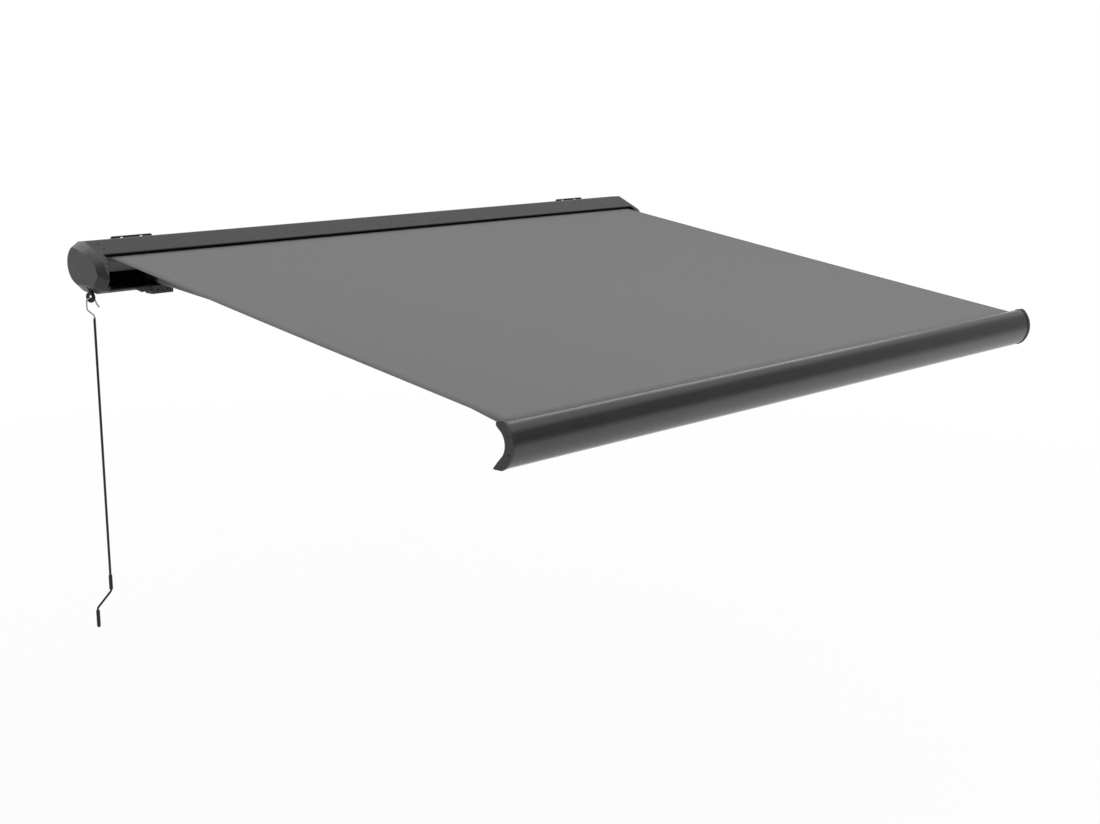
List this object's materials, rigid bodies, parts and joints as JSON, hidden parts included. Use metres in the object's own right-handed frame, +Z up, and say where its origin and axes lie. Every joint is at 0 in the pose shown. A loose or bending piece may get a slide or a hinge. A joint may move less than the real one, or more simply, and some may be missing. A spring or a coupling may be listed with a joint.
{
  "type": "cassette awning",
  "caption": "Folding arm cassette awning, let out: dark cassette on two wall brackets, grey fabric, crescent front bar and a hooked hand crank.",
  "frame": {"origin": "centre of the wall bolt pattern, in the wall plane", "axes": "+Z up, +Y into the wall, -Y out along the fabric, +X along the cassette away from the crank"},
  "size_m": [3.2353, 2.5037, 1.5736],
  "materials": {
    "dark_profile": "satin powder coat",
    "dark_plastic": "fine grain",
    "bracket_metal": "powder coated casting",
    "arm_metal": "satin powder coat",
    "bright_steel": "bright zinc",
    "galvanised": "galvanised",
    "bronze": "cut bronze",
    "cloth": "woven acrylic",
    "black_metal": "gloss black",
    "black_plastic": "moulded"
  },
  "bodies": {
    "cassette": {"back_profile": "dark_profile", "top_hood": "dark_profile", "slot_brush": "black_plastic", "hood_screws": "bright_steel", "left_side_plate": "dark_profile", "right_side_plate": "dark_profile", "left_end_cover": "dark_plastic", "right_end_cover": "dark_plastic", "left_wall_bracket": "bracket_metal", "right_wall_bracket": "bracket_metal", "left_clamp_block": "bracket_metal", "right_clamp_block": "bracket_metal", "clamp_screws": "black_metal", "left_shoulder_bracket": "bracket_metal", "right_shoulder_bracket": "bracket_metal", "left_shoulder_pin": "bright_steel", "right_shoulder_pin": "bright_steel", "gear_housing": "bracket_metal", "drive_bush": "black_plastic", "idler_pin": "bright_steel", "fabric": "cloth"},
    "roller": {"roller_tube": "galvanised", "drive_plug": "black_plastic", "idler_plug": "black_plastic", "worm_wheel": "bronze", "fabric_roll": "cloth"},
    "crank": {"worm": "bright_steel", "crank_eye": "black_plastic", "crank_hook": "bright_steel", "crank_ferrule": "bright_steel", "crank_rod": "black_metal"},
    "grip_upper": {"upper_grip": "black_plastic"},
    "grip_lower": {"lower_grip": "black_plastic"},
    "left_arm_upper": {"left_upper_tube": "arm_metal", "left_shoulder_knuckle": "bracket_metal", "left_elbow_fork": "bracket_metal", "left_elbow_pin": "bright_steel"},
    "left_arm_fore": {"left_fore_tube": "arm_metal", "left_elbow_knuckle": "bracket_metal", "left_wrist_knuckle": "bracket_metal"},
    "right_arm_upper": {"right_upper_tube": "arm_metal", "right_shoulder_knuckle": "bracket_metal", "right_elbow_fork": "bracket_metal", "right_elbow_pin": "bright_steel"},
    "right_arm_fore": {"right_fore_tube": "arm_metal", "right_elbow_knuckle": "bracket_metal", "right_wrist_knuckle": "bracket_metal"},
    "bar": {"front_bar": "dark_profile", "left_bar_cap": "dark_plastic", "right_bar_cap": "dark_plastic", "bar_welt": "cloth", "left_wrist_bracket": "bracket_metal", "right_wrist_bracket": "bracket_metal", "left_wrist_pin": "bright_steel", "right_wrist_pin": "bright_steel"}
  },
  "joints": [
    {"name": "left_shoulder", "type": "hinge", "parent": "cassette", "child": "left_arm_upper", "pos_m": [-1.2927, -0.16298, -0.04529], "axis": [0, -0.1374, 0.9905], "range_deg": [0, 82.1], "deforming": ["fabric"]},
    {"name": "left_elbow", "type": "hinge", "parent": "left_arm_upper", "child": "left_arm_fore", "pos_m": [-1.17312, -1.28991, -0.20167], "axis": [0, -0.1374, 0.9905], "range_deg": [-164.2, 0]},
    {"name": "left_wrist", "type": "hinge", "parent": "left_arm_fore", "child": "bar", "pos_m": [-1.2927, -2.41708, -0.35807], "axis": [0, -0.1374, 0.9905], "range_deg": [0, 82.1]},
    {"name": "right_shoulder", "type": "hinge", "parent": "cassette", "child": "right_arm_upper", "pos_m": [1.2927, -0.16298, -0.04529], "axis": [0, -0.1374, 0.9905], "range_deg": [-82.1, 0]},
    {"name": "right_elbow", "type": "hinge", "parent": "right_arm_upper", "child": "right_arm_fore", "pos_m": [1.17312, -1.28991, -0.20167], "axis": [0, -0.1374, 0.9905], "range_deg": [0, 164.2]},
    {"name": "roller_turn", "type": "hinge", "parent": "cassette", "child": "roller", "pos_m": [0, -0.1165, 0.0184], "axis": [1, 0, 0], "range_deg": [-3064.33, 0]},
    {"name": "crank_turn", "type": "hinge", "parent": "cassette", "child": "crank", "pos_m": [-1.582, -0.162, -0.107], "axis": [0, 0, 1], "range_deg": [-33705.6, 0]},
    {"name": "upper_grip_turn", "type": "hinge", "parent": "crank", "child": "grip_upper", "pos_m": [-1.57326, -0.16518, -1.284], "axis": [0, 0, 1], "continuous": true},
    {"name": "lower_grip_turn", "type": "hinge", "parent": "crank", "child": "grip_lower", "pos_m": [-1.62776, -0.14534, -1.419], "axis": [0, 0, 1], "continuous": true}
  ],
  "couplings": [
    {"joint": "left_elbow", "follows": "left_shoulder", "ratio": -2},
    {"joint": "left_wrist", "follows": "left_shoulder", "ratio": 1},
    {"joint": "right_shoulder", "follows": "left_shoulder", "ratio": -1},
    {"joint": "right_elbow", "follows": "left_shoulder", "ratio": 2},
    {"joint": "roller_turn", "follows": "left_shoulder", "ratio": -37.3},
    {"joint": "crank_turn", "follows": "left_shoulder", "ratio": -410.3}
  ]
}
